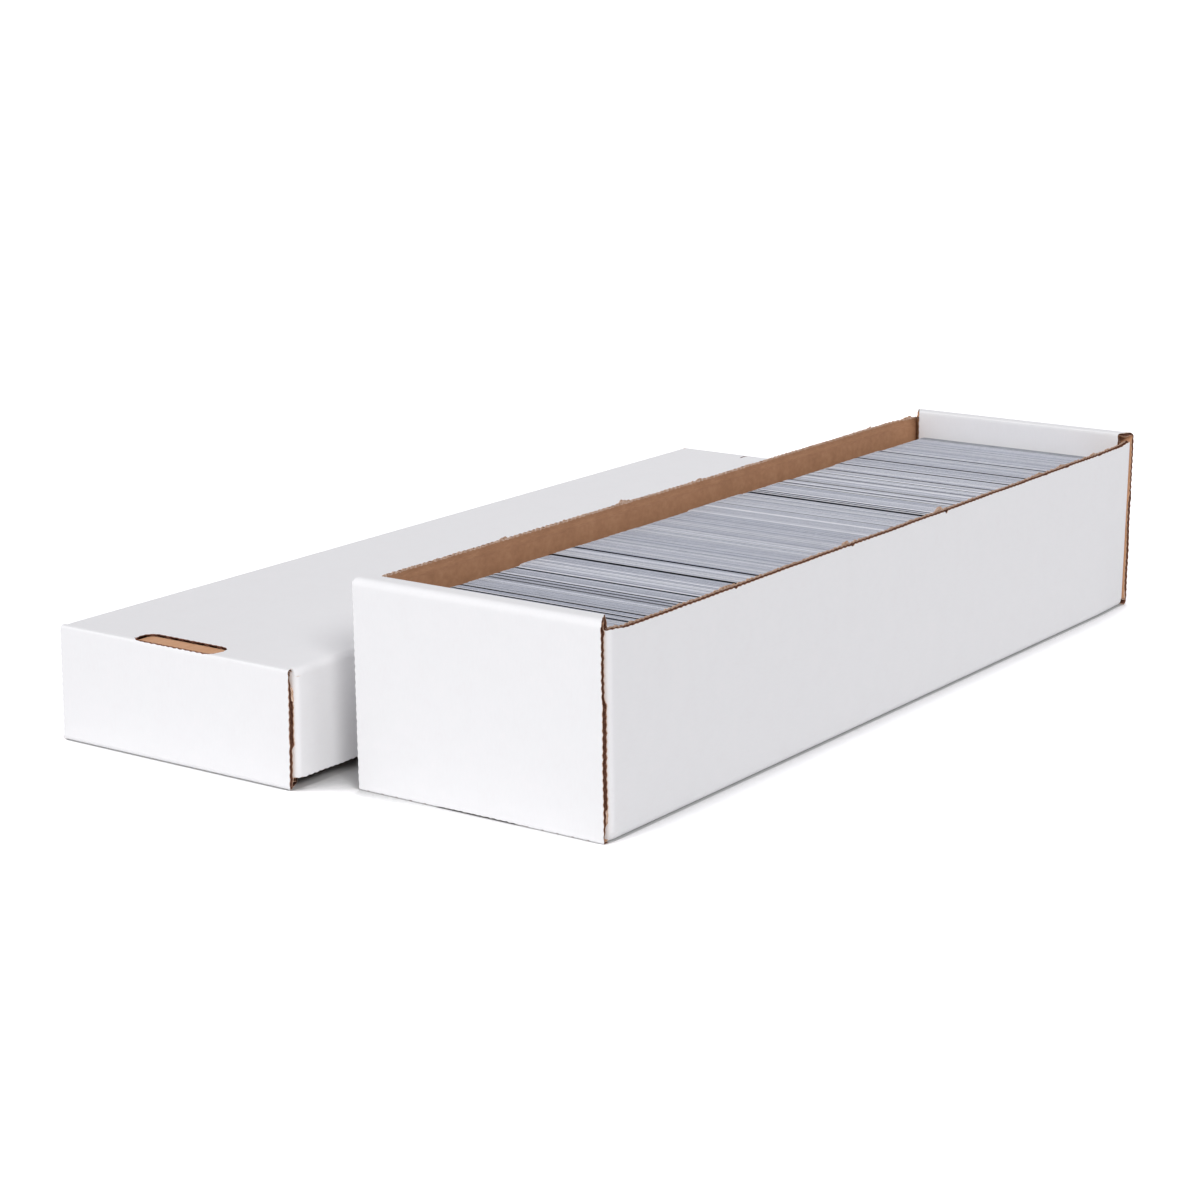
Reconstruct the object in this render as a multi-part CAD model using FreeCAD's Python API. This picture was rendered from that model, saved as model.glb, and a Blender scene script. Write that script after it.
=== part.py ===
import FreeCAD, Part
import math
import os

from FreeCAD import Vector

# A trading-card storage box of corrugated board: a long tray filled with cards standing on their
# long edges, and the telescoping lid that was lifted off it and lies open side down on its left.
# Tray and lid are each folded from one creased blank. Every panel between two creases is a piece
# here: a broad face, two long walls, four corner flaps and, at each end, an outer panel that rolls
# over a rim strip into an inner panel whose tab locks in a slot of the broad face.
#
# Millimetres. The origin is the centre of the tray's underside, X runs to the right along its
# front end, Y to its rear end and Z up.

# Board and cards
board = 2.8
card_width = 88.9
card_height = 63.5

# Room round the cards in the tray
left_room = 3.6
right_room = 10.9
head_room = 11.7
front_room = 6.0
rear_room = 0.8
stack_length = 382.6

# Card packs, each a row of bundles that lift out together
pack_count = 10
bundles_per_pack = 6
pack_gap = 0.6
bundle_gap = 0.15
pack_sway = 0.7

# Folds shared by tray and lid
wall_drop = 3.4
end_inset = 0.7
fold_slack = 0.4
inner_side_gap = 0.5
flap_length = 44.0
flap_drop = 1.0
rim_round = 1.8

# Locking slots and tabs
slot_length = 42.0
slot_rear_gap = 2.6
slot_corner = 4.0
tab_side_gap = 3.0
tab_recess = 0.4
lip_recess = 0.5

# Lid
lid_clearance = 0.4
lid_height = 44.5
lid_gap = 16.9
lid_lead = 14.1

# Sizes that follow
rim_depth = 3 * board + fold_slack
tray_width = card_width + left_room + right_room + 2 * board
tray_length = stack_length + front_room + rear_room + 2 * rim_depth
tray_height = board + card_height + head_room
lid_width = tray_width + 2 * (board + lid_clearance)
lid_length = tray_length + 2 * (rim_depth + lid_clearance)
lid_place = Vector(-(tray_width + lid_width) / 2 - lid_gap, lid_length / 2 - tray_length / 2 - lid_lead, 0)


def block(x0, x1, y0, y1, z0, z1):
    return Part.makeBox(x1 - x0, y1 - y0, z1 - z0, Vector(x0, y0, z0))


def slot_cutter(length):
    """The slot at the front end, from outside the end face to its rounded inner corners."""
    half = slot_length / 2
    inner = -length / 2 + rim_depth + slot_rear_gap
    r = slot_corner
    k = r * math.sin(math.pi / 4)
    outer = -length / 2 - board
    corner = [
        Part.LineSegment(Vector(-half, outer, 0), Vector(-half, inner - r, 0)),
        Part.Arc(Vector(-half, inner - r, 0), Vector(-half + r - k, inner - r + k, 0), Vector(-half + r, inner, 0)),
        Part.LineSegment(Vector(-half + r, inner, 0), Vector(half - r, inner, 0)),
        Part.Arc(Vector(half - r, inner, 0), Vector(half - r + k, inner - r + k, 0), Vector(half, inner - r, 0)),
        Part.LineSegment(Vector(half, inner - r, 0), Vector(half, outer, 0)),
        Part.LineSegment(Vector(half, outer, 0), Vector(-half, outer, 0)),
    ]
    wire = Part.Wire([edge.toShape() for edge in corner])
    return Part.Face(wire).extrude(Vector(0, 0, board))


def to_rear(shape):
    """The same piece at the rear end."""
    return shape.mirror(Vector(0, 0, 0), Vector(0, 1, 0))


def to_left(shape):
    """The same piece on the left side."""
    return shape.mirror(Vector(0, 0, 0), Vector(1, 0, 0))


def broad_panel(width, length):
    """The panel that everything folds up from, with a locking slot at each end crease."""
    plain = block(-width / 2, width / 2, -length / 2, length / 2, 0, board)
    slot = slot_cutter(length)
    return plain.cut(slot).cut(to_rear(slot))


def long_wall(width, length, height):
    """The right-hand wall, between the corner flaps that turn in from its two ends."""
    end = length / 2 - 2 * board
    return block(width / 2 - board, width / 2, -end, end, board, height - wall_drop)


def corner_flap(width, length, height):
    """The front right flap, turned in from the long wall behind the outer end panel."""
    y0 = -length / 2 + board
    return block(width / 2 - flap_length, width / 2, y0, y0 + board, board, height - wall_drop - flap_drop)


def outer_end(width, length, height):
    """The outer end panel, with the low lip that its crease leaves in front of the slot."""
    half = width / 2 - end_inset
    y0 = -length / 2
    panel = block(-half, half, y0, y0 + board, board, height - board)
    lip = block(-slot_length / 2, slot_length / 2, y0, y0 + board, lip_recess, board)
    return panel.fuse(lip).removeSplitter()


def rim_strip(width, length, height):
    """The strip on top of the rolled end, narrower where the inner panel drops between the walls."""
    outer_half = width / 2 - end_inset
    inner_half = width / 2 - board - inner_side_gap
    y0 = -length / 2
    y1 = y0 + rim_depth
    corners = [(-outer_half, y0), (outer_half, y0), (inner_half, y1), (-inner_half, y1), (-outer_half, y0)]
    outline = Part.makePolygon([Vector(x, y, height - board) for x, y in corners])
    strip = Part.Face(outline).extrude(Vector(0, 0, board))
    creases = [
        edge
        for edge in strip.Edges
        if all(abs(v.Z - height) < 0.01 for v in edge.Vertexes)
        and abs(edge.Vertexes[0].Y - edge.Vertexes[1].Y) < 0.01
    ]
    return strip.makeFillet(min(rim_round, 0.7 * board), creases)


def inner_end(width, length, height):
    """The inner end panel and the tab on its free edge, which stands in the locking slot."""
    half = width / 2 - board - inner_side_gap
    y1 = -length / 2 + rim_depth
    panel = block(-half, half, y1 - board, y1, board, height - board)
    tab_half = slot_length / 2 - tab_side_gap
    tab = block(-tab_half, tab_half, y1 - board, y1, tab_recess, board)
    return panel.fuse(tab).removeSplitter()


def folded_shell(name, face_name, width, length, height):
    """Every piece of one folded blank, open side up, with its broad panel on the ground."""
    wall = long_wall(width, length, height)
    flap = corner_flap(width, length, height)
    pieces = {
        f"{name}_{face_name}_panel": broad_panel(width, length),
        f"{name}_right_wall": wall,
        f"{name}_left_wall": to_left(wall),
        f"{name}_front_right_flap": flap,
        f"{name}_front_left_flap": to_left(flap),
        f"{name}_rear_right_flap": to_rear(flap),
        f"{name}_rear_left_flap": to_rear(to_left(flap)),
    }
    for piece, make in (("outer_end", outer_end), ("rim_strip", rim_strip), ("inner_end", inner_end)):
        front = make(width, length, height)
        pieces[f"{name}_front_{piece}"] = front
        pieces[f"{name}_rear_{piece}"] = to_rear(front)
    return pieces


def turned_over(shape, height, place):
    """A piece of the shell with its open side down, moved to where the shell lies."""
    flipped = shape.mirror(Vector(0, 0, height / 2), Vector(0, 0, 1))
    flipped.translate(place)
    return flipped


def card_pack(index):
    """One pack of cards on the tray's floor, as bundles that stand close behind each other."""
    pack_length = (stack_length - (pack_count - 1) * pack_gap) / pack_count
    bundle = (pack_length - (bundles_per_pack - 1) * bundle_gap) / bundles_per_pack
    sway = pack_sway * math.sin(2.1 * index)
    x0 = -tray_width / 2 + board + left_room + sway
    y_start = -tray_length / 2 + rim_depth + front_room + index * (pack_length + pack_gap)
    bundles = []
    for number in range(bundles_per_pack):
        y0 = y_start + number * (bundle + bundle_gap)
        bundles.append(block(x0, x0 + card_width, y0, y0 + bundle, board, board + card_height))
    return Part.makeCompound(bundles)


pieces = folded_shell("tray", "bottom", tray_width, tray_length, tray_height)
for name, shape in folded_shell("lid", "top", lid_width, lid_length, lid_height).items():
    pieces[name] = turned_over(shape, lid_height, lid_place)
for index in range(pack_count):
    pieces[f"card_pack_{index + 1:02d}"] = card_pack(index)

os.makedirs("parts", exist_ok=True)
for name, shape in pieces.items():
    shape.exportStep(f"parts/{name}.step")
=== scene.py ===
import math

import bmesh
import bpy
import numpy as np
from mathutils import Matrix, Vector


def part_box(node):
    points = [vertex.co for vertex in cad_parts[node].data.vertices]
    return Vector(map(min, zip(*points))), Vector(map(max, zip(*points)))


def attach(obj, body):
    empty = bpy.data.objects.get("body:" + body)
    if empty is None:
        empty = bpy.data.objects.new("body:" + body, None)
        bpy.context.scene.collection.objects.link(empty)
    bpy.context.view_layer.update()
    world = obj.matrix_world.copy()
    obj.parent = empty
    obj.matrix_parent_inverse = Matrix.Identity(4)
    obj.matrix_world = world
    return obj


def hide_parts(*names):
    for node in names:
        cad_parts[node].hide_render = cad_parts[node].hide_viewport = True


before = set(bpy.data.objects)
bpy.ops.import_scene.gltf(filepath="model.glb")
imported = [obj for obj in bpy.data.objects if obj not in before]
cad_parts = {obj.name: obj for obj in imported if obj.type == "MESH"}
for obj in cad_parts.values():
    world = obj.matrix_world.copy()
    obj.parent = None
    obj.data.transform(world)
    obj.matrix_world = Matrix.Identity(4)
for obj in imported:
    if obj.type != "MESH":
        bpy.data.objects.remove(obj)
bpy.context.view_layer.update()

MM = 0.001


# ----------------------------------------------------------------------
# Broad panels: the tray's bottom and the lid's top.
# B-flute corrugated board, white-top liner outside and kraft liner inside, die-cut from one flat
# blank. The long walls fold up from its side creases. A slot at each end takes a locking tab.

def srgb(code):
    """Linear colour of an sRGB hex code."""
    parts = [int(code[i:i + 2], 16) / 255 for i in (1, 3, 5)]
    return (*(p / 12.92 if p <= 0.04045 else ((p + 0.055) / 1.055) ** 2.4 for p in parts), 1.0)


maths, noise, stored = "ShaderNodeMath", "ShaderNodeTexNoise", "GeometryNodeStoreNamedAttribute"


def add_node(tree, kind, inputs=None, operation=None, stops=(), **settings):
    """Adds a node to a tree, with its operation, settings, socket values, links and hex colour stops.
    A list links all its nodes to one socket."""
    node = tree.nodes.new(kind)
    if operation:
        node.operation = operation
    for key, value in settings.items():
        setattr(node, key, value)
    for socket, value in (inputs or {}).items():
        for source in value if isinstance(value, list) else [value]:
            if isinstance(source, bpy.types.Node):
                source = source.outputs[0]
            if isinstance(source, bpy.types.NodeSocket):
                tree.links.new(source, node.inputs[socket])
            else:
                node.inputs[socket].default_value = source
    if stops:
        elements = node.color_ramp.elements
        while len(elements) < len(stops):
            elements.new(0.5)
        for element, (position, code) in zip(elements, stops):
            element.position = position
            element.color = srgb(code)
    return node


def new_material(name):
    """A material with an empty node tree, and that tree."""
    material = bpy.data.materials.new(name)
    material.use_nodes = True
    material.node_tree.nodes.clear()
    return material, material.node_tree


flute_pitch = 6.4 * MM
liner_paper = 0.36 * MM
mottle_size = 9 * MM
fibre_width = 0.9 * MM


def liner_material(name, stops, roughness, specular, washboard, fibre_height):
    """Paper liner of corrugated board: soft mottling and fibres from the pulp, and the faint
    washboard that the flutes print through it. It follows the blank, whose UV is in metres."""
    material, tree = new_material(name)
    blank = add_node(tree, "ShaderNodeUVMap", uv_map="blank")
    mottle = add_node(tree, noise, {"Vector": blank, "Scale": 1 / mottle_size, "Detail": 4.0})
    stretched = add_node(tree, "ShaderNodeVectorMath", {0: blank, 1: (1.0, 0.28, 1.0)}, "MULTIPLY")
    fibre = add_node(tree, noise, {"Vector": stretched, "Scale": 1 / fibre_width, "Detail": 3.0})
    mixed = add_node(tree, maths, {0: fibre, 1: mottle}, "ADD")
    halved = add_node(tree, maths, {0: mixed, 1: 0.5}, "MULTIPLY")
    colour = add_node(tree, "ShaderNodeValToRGB", {0: halved}, stops=stops)
    across = add_node(tree, "ShaderNodeSeparateXYZ", {0: blank})
    turns = add_node(tree, maths, {0: across, 1: 2 * math.pi / flute_pitch}, "MULTIPLY")
    wave = add_node(tree, maths, {0: turns}, "SINE")
    ridges = add_node(tree, maths, {0: wave, 1: washboard}, "MULTIPLY")
    pulp = add_node(tree, maths, {0: fibre, 1: fibre_height}, "MULTIPLY")
    height = add_node(tree, maths, {0: ridges, 1: pulp}, "ADD")
    bump = add_node(tree, "ShaderNodeBump", {"Height": height, "Distance": 1.0, "Strength": 1.0})
    shine = add_node(tree, "ShaderNodeMapRange", {
        0: mottle, 1: 0.3, 2: 0.7, 3: roughness - 0.05, 4: roughness + 0.05})
    surface = add_node(tree, "ShaderNodeBsdfPrincipled", {
        "Base Color": colour, "Roughness": shine, "Specular IOR Level": specular, "Normal": bump})
    add_node(tree, "ShaderNodeOutputMaterial", {0: surface})
    return material


# White-top kraft liner, bleached and calendered: a bright, dead white with hardly any sheen.
white_top_liner = liner_material(
    "white_top_liner", [(0.30, "#F1F0F1"), (0.50, "#F2F2F3"), (0.70, "#F4F3F4")],
    roughness=0.62, specular=0.30, washboard=0.008 * MM, fibre_height=0.010 * MM)
# Unbleached kraft liner: warm brown, matt, with darker and paler wood fibres along the sheet.
kraft_liner = liner_material(
    "kraft_liner", [(0.22, "#A07455"), (0.50, "#B48564"), (0.78, "#C49674")],
    roughness=0.80, specular=0.22, washboard=0.030 * MM, fibre_height=0.030 * MM)
# The same liner on the locking tabs, made paler: painted light for the direct light that falls on the tabs in
# their slots.
painted_light_kraft_liner = liner_material(
    "painted_light_kraft_liner", [(0.30, "#C8956F"), (0.50, "#D5A581"), (0.70, "#DEB392")],
    roughness=0.85, specular=0.18, washboard=0.020 * MM, fibre_height=0.040 * MM)


def raw_paper_material(name, grain, detail, crumble, stops, fluff=0.0):
    """Raw paper where board was cut: fibres of this grain, which stand as high as the fluff."""
    material, tree = new_material(name)
    place = add_node(tree, "ShaderNodeTexCoord")
    fibres = add_node(tree, noise, {
        "Vector": place.outputs["Object"], "Scale": 1 / grain, "Detail": detail, "Roughness": crumble})
    tone = add_node(tree, "ShaderNodeValToRGB", {0: fibres}, stops=stops)
    surface = add_node(tree, "ShaderNodeBsdfPrincipled", {
        "Base Color": tone, "Roughness": 0.9, "Specular IOR Level": 0.15})
    if fluff:
        height = add_node(tree, maths, {0: fibres, 1: fluff}, "MULTIPLY")
        bump = add_node(tree, "ShaderNodeBump", {"Height": height, "Distance": 1.0, "Strength": 1.0})
        tree.links.new(bump.outputs[0], surface.inputs["Normal"])
    add_node(tree, "ShaderNodeOutputMaterial", {0: surface})
    return material


# Semichemical fluting medium and the raw paper of die-cut edges: rough and fibrous, and darker than the paper
# really is, as painted shade for the flute channels and cut edges.
fluting_medium_and_shade = raw_paper_material(
    "fluting_medium_and_shade", grain=0.8 * MM, detail=4.0, crumble=0.7,
    stops=[(0.30, "#5C3A2D"), (0.50, "#7A5140"), (0.72, "#9C725B")], fluff=0.25 * MM)
# Cut edge of the liners, where the knife bruised the paper: pale and fuzzy.
liner_cut_edge = raw_paper_material(
    "liner_cut_edge", grain=1.1 * MM, detail=3.0, crumble=0.6,
    stops=[(0.32, "#AC866D"), (0.50, "#D0AE96"), (0.70, "#E8D0BD")])


def new_shape_tree(name, inputs, output):
    """A Geometry Nodes tree with these named inputs, listed by kind, and the sockets they come from."""
    tree = bpy.data.node_groups.new(name, "GeometryNodeTree")
    for kind, labels in inputs.items():
        for label in labels:
            tree.interface.new_socket(label, in_out="INPUT", socket_type="NodeSocket" + kind)
    tree.interface.new_socket(output, in_out="OUTPUT", socket_type="NodeSocketGeometry")
    return tree, add_node(tree, "NodeGroupInput").outputs


def finish_tree(tree, geometry, papers):
    """Ends a tree: its geometry made real, with the faces of each layer in the paper of that number."""
    whole = add_node(tree, "GeometryNodeRealizeInstances", {0: geometry})
    layer_of = add_node(tree, "GeometryNodeInputNamedAttribute", {0: "layer"})
    for number, paper in enumerate(papers):
        chosen = add_node(tree, maths, {0: layer_of, 1: float(number), 2: 0.2}, "COMPARE")
        whole = add_node(tree, "GeometryNodeSetMaterial", {0: whole, 1: chosen, 2: paper})
    add_node(tree, "NodeGroupOutput", {0: whole})


# One flat sheet of board, white face up: two liners whose die-cut sides are nicked by the toothed
# knife, and the wavy medium between them. X runs across the flutes and Y along them.
sheet_tree, given = new_shape_tree("corrugated_board", {
    "Float": ("Width", "Length", "Thickness", "Paper", "Flute pitch", "Flute drift", "Tooth pitch",
              "Tooth depth", "Cut low side", "Cut high side", "Cut start", "Cut end"),
    "Int": ("Points across", "Points along", "Flute points", "Flute rows"),
    "Vector": ("Blank place",)}, "Board")
tree = sheet_tree
white_layer, kraft_layer, medium_and_shade_layer, cut_layer = 0.0, 1.0, 2.0, 3.0

flat = add_node(tree, "GeometryNodeMeshGrid", {
    0: given["Width"], 1: given["Length"], 2: given["Points across"], 3: given["Points along"]})
flat_spot = add_node(tree, "GeometryNodeInputPosition")
on_blank = add_node(tree, "ShaderNodeVectorMath", {0: flat_spot, 1: given["Blank place"]}, "ADD")
shredding = add_node(tree, noise, {"Vector": on_blank, "Scale": 1 / (1.6 * MM), "Detail": 2.0})
straying = add_node(tree, noise, {"Vector": on_blank, "Scale": 1 / (22 * MM), "Detail": 1.0})
ragged = add_node(tree, maths, {0: shredding, 1: 1.3, 2: -0.65}, "MULTIPLY_ADD")
wander = add_node(tree, maths, {0: straying, 1: 2.0, 2: ragged}, "MULTIPLY_ADD")
here = add_node(tree, "ShaderNodeSeparateXYZ", {0: flat_spot})
there = add_node(tree, "ShaderNodeSeparateXYZ", {0: on_blank})
half_tooth = add_node(tree, maths, {0: given["Tooth pitch"], 1: 0.5}, "MULTIPLY")
moves = []
for axis, span, low_cut, high_cut in (
        (0, "Width", "Cut low side", "Cut high side"), (1, "Length", "Cut start", "Cut end")):
    reach = add_node(tree, maths, {0: here.outputs[axis]}, "ABSOLUTE")
    limit = add_node(tree, maths, {0: given[span], 1: 0.5, 2: -1e-5}, "MULTIPLY_ADD")
    on_side = add_node(tree, maths, {0: reach, 1: limit}, "GREATER_THAN")
    is_high = add_node(tree, maths, {0: here.outputs[axis], 1: 0.0}, "GREATER_THAN")
    cut = add_node(tree, "ShaderNodeMix", {0: is_high, 2: given[low_cut], 3: given[high_cut]})
    zigzag = add_node(tree, maths, {0: there.outputs[1 - axis], 1: half_tooth}, "PINGPONG")
    tooth = add_node(tree, maths, {0: zigzag, 1: half_tooth}, "DIVIDE")
    bite = add_node(tree, maths, {0: tooth, 1: wander}, "ADD")
    deep = add_node(tree, maths, {0: bite, 1: given["Tooth depth"]}, "MULTIPLY")
    kept = add_node(tree, maths, {0: deep, 1: on_side}, "MULTIPLY")
    only_cut = add_node(tree, maths, {0: kept, 1: cut}, "MULTIPLY")
    outward = add_node(tree, maths, {0: here.outputs[axis]}, "SIGN")
    inward = add_node(tree, maths, {0: outward, 1: -1.0}, "MULTIPLY")
    moves.append(add_node(tree, maths, {0: only_cut, 1: inward}, "MULTIPLY"))
nick = add_node(tree, "ShaderNodeCombineXYZ", {0: moves[0], 1: moves[1]})
die_cut = add_node(tree, "GeometryNodeSetPosition", {0: flat, "Offset": nick})


shells_of_board = []
for layer, flips in ((white_layer, (False, True)), (kraft_layer, (True, False))):
    face = die_cut
    if layer == kraft_layer:
        sunk = add_node(tree, maths, {0: given["Thickness"], 1: -1.0}, "MULTIPLY")
        lower = add_node(tree, "ShaderNodeCombineXYZ", {2: sunk})
        face = add_node(tree, "GeometryNodeTransform", {0: die_cut, "Translation": lower})
    outer, inner = (add_node(tree, "GeometryNodeFlipFaces", {0: face}) if turned else face for turned in flips)
    shown = add_node(tree, stored, {0: outer, "Name": "layer", "Value": layer}, domain="FACE")
    # A liner's glued inner face takes the dark medium paper too: painted shade inside the flute channels.
    glued = add_node(tree, stored, {0: inner, "Name": "layer", "Value": medium_and_shade_layer}, domain="FACE")
    liner = add_node(tree, "GeometryNodeExtrudeMesh", {
        0: glued, "Offset Scale": given["Paper"], "Individual": False})
    cut_sides = add_node(tree, stored, {
        0: liner, "Selection": liner.outputs["Side"], "Name": "layer", "Value": cut_layer}, domain="FACE")
    shells_of_board += [shown, cut_sides]

# The medium stops short of the cut sides. The middle of its crests lies this deep under a face.
side_gap = 1.4 * MM
crest_depth = 0.54 * MM
medium_paper = 0.22 * MM
set_in = add_node(tree, maths, {0: given["Width"], 1: side_gap}, "SUBTRACT")
wavy = add_node(tree, "GeometryNodeMeshGrid", {
    0: set_in, 1: given["Length"], 2: given["Flute points"], 3: given["Flute rows"]})
drift = add_node(tree, maths, {
    0: there.outputs[1], 1: given["Flute drift"], 2: there.outputs[0]}, "MULTIPLY_ADD")
turns = add_node(tree, maths, {0: drift, 1: given["Flute pitch"]}, "DIVIDE")
angle = add_node(tree, maths, {0: turns, 1: 2 * math.pi}, "MULTIPLY")
wave = add_node(tree, maths, {0: angle}, "SINE")
room = add_node(tree, maths, {0: given["Thickness"], 1: 0.5, 2: -crest_depth}, "MULTIPLY_ADD")
lift = add_node(tree, maths, {0: wave, 1: room}, "MULTIPLY")
middle = add_node(tree, maths, {0: given["Thickness"], 1: -0.5, 2: lift}, "MULTIPLY_ADD")
level = add_node(tree, maths, {0: middle, 1: medium_paper / 2}, "ADD")
rise = add_node(tree, "ShaderNodeCombineXYZ", {2: level})
waved = add_node(tree, "GeometryNodeSetPosition", {0: wavy, "Offset": rise})
under = add_node(tree, "GeometryNodeFlipFaces", {0: waved})
thick = add_node(tree, "GeometryNodeExtrudeMesh", {
    0: under, "Offset": (0.0, 0.0, -1.0), "Offset Scale": medium_paper, "Individual": False})
shells_of_board += [add_node(tree, stored, {
    0: part, "Name": "layer", "Value": medium_and_shade_layer}, domain="FACE") for part in (waved, thick)]
together = add_node(tree, "GeometryNodeJoinGeometry", {0: shells_of_board})
closed = add_node(tree, "GeometryNodeMergeByDistance", {0: together, "Distance": 1e-6})
flat_uv = add_node(tree, stored, {
    0: closed, "Name": "blank", "Value": on_blank}, data_type="FLOAT2", domain="CORNER")
finish_tree(tree, flat_uv, (white_top_liner, kraft_liner, fluting_medium_and_shade, liner_cut_edge))


def in_scene(name, data):
    """A new object of this data, in the scene."""
    item = bpy.data.objects.new(name, data)
    bpy.context.scene.collection.objects.link(item)
    return item


def made_plain(item):
    """A plain mesh of what an object's modifiers make. The object is removed."""
    depsgraph = bpy.context.evaluated_depsgraph_get()
    mesh = bpy.data.meshes.new_from_object(
        item.evaluated_get(depsgraph), preserve_all_data_layers=True, depsgraph=depsgraph)
    bpy.data.objects.remove(item)
    return mesh


def shape_from_nodes(tree, values):
    """A plain mesh of what a Geometry Nodes tree makes from these named inputs."""
    holder = in_scene("holder", bpy.data.meshes.new("holder"))
    modifier = holder.modifiers.new("shape", "NODES")
    modifier.node_group = tree
    for item in tree.interface.items_tree:
        if item.in_out == "INPUT" and item.name in values:
            modifier[item.identifier] = values[item.name]
    return made_plain(holder)


crease_radius = 2.6 * MM
inner_radius = 0.8 * MM
crease_steps = 24
straight_piece = 30 * MM
# Rows of points round a score, as shares of how far it reaches.
score_rows = (-2.4, -1.8, -1.4, -1.0, 1.0, 1.4, 1.8, 2.4)


class FoldLine:
    """The white face of a strip of board, seen end on: straight runs, and creases that all turn one
    way. A part is a length to run, or a crease: its radius, the share of the board's thickness that the
    score leaves, and how far along the board that reaches."""

    def __init__(self, start, heading, turn, parts):
        self.turn = turn
        self.creases = []
        self.stations = [0.0]
        angle = math.radians(heading)
        point = np.array(start, float)
        rows = [(0.0, point[0], point[1], angle)]
        for part in parts:
            done = rows[-1][0]
            if isinstance(part, float):
                point = point + part * np.array([math.cos(angle), math.sin(angle)])
                rows.append((done + part, point[0], point[1], angle))
                pieces = max(1, round(part / straight_piece))
                self.stations += [done + part * (i + 1) / pieces for i in range(pieces)]
                continue
            radius, share, spread = part
            centre = point + turn * radius * np.array([-math.sin(angle), math.cos(angle)])
            arc = radius * math.pi / 2
            for i in range(1, crease_steps + 1):
                bent = angle + turn * math.pi / 2 * i / crease_steps
                point = centre + turn * radius * np.array([math.sin(bent), -math.cos(bent)])
                rows.append((done + arc * i / crease_steps, point[0], point[1], bent))
                if i % 4 == 0:
                    self.stations.append(rows[-1][0])
            angle = bent
            self.creases.append((done + arc / 2, share, spread))
        self.table = np.array(rows).T
        self.length = rows[-1][0]
        for middle, share, spread in self.creases:
            around = [middle + spread * k for k in score_rows]
            self.stations += [s for s in around if 0.2 * MM < s < self.length - 0.2 * MM]
        self.stations = sorted(set(self.stations))

    def place(self, distance, depth):
        """Points at these distances along the strip, and this deep under its white face."""
        s, a, b, angle = self.table
        bent = np.interp(distance, s, angle)
        left = np.ones_like(distance)
        for middle, share, spread in self.creases:
            left -= (1 - share) * np.exp(-((distance - middle) / spread) ** 2)
        sunk = depth * left * self.turn
        return np.interp(distance, s, a) - sunk * np.sin(bent), np.interp(distance, s, b) + sunk * np.cos(bent)


def coordinates(mesh):
    """A mesh's points, one to a row."""
    flat_list = np.zeros(len(mesh.vertices) * 3)
    mesh.vertices.foreach_get("co", flat_list)
    return flat_list.reshape(-1, 3)


def in_medium(points):
    """Which points of a flat sheet belong to the fluting between the liners."""
    depth = -points[:, 2]
    return (depth > liner_paper + 1e-6) & (depth < board_thickness - liner_paper - 1e-6)


def cut_out(mesh, ring, bottom, top):
    """The mesh less what a knife of this outline takes out between two heights."""
    cutter_mesh = bpy.data.meshes.new("knife")
    form = bmesh.new()
    floor_face = form.faces.new([form.verts.new((x, y, bottom)) for x, y in ring])
    swept = bmesh.ops.extrude_face_region(form, geom=[floor_face])
    moved = [v for v in swept["geom"] if isinstance(v, bmesh.types.BMVert)]
    bmesh.ops.translate(form, verts=moved, vec=(0, 0, top - bottom))
    bmesh.ops.recalc_face_normals(form, faces=form.faces)
    form.to_mesh(cutter_mesh)
    form.free()
    raw_edge_and_shade = mesh.materials.find(fluting_medium_and_shade.name)
    for material in mesh.materials:
        cutter_mesh.materials.append(material)
    cutter_mesh.polygons.foreach_set("material_index", [raw_edge_and_shade] * len(cutter_mesh.polygons))
    cutter = in_scene("knife", cutter_mesh)
    target = in_scene("target", mesh)
    blade = target.modifiers.new("slot", "BOOLEAN")
    blade.operation = "DIFFERENCE"
    blade.solver = "EXACT"
    blade.object = cutter
    result = made_plain(target)
    bpy.data.objects.remove(cutter)
    return result


points_to_flute = 9
flute_row_gap = 20 * MM


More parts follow.
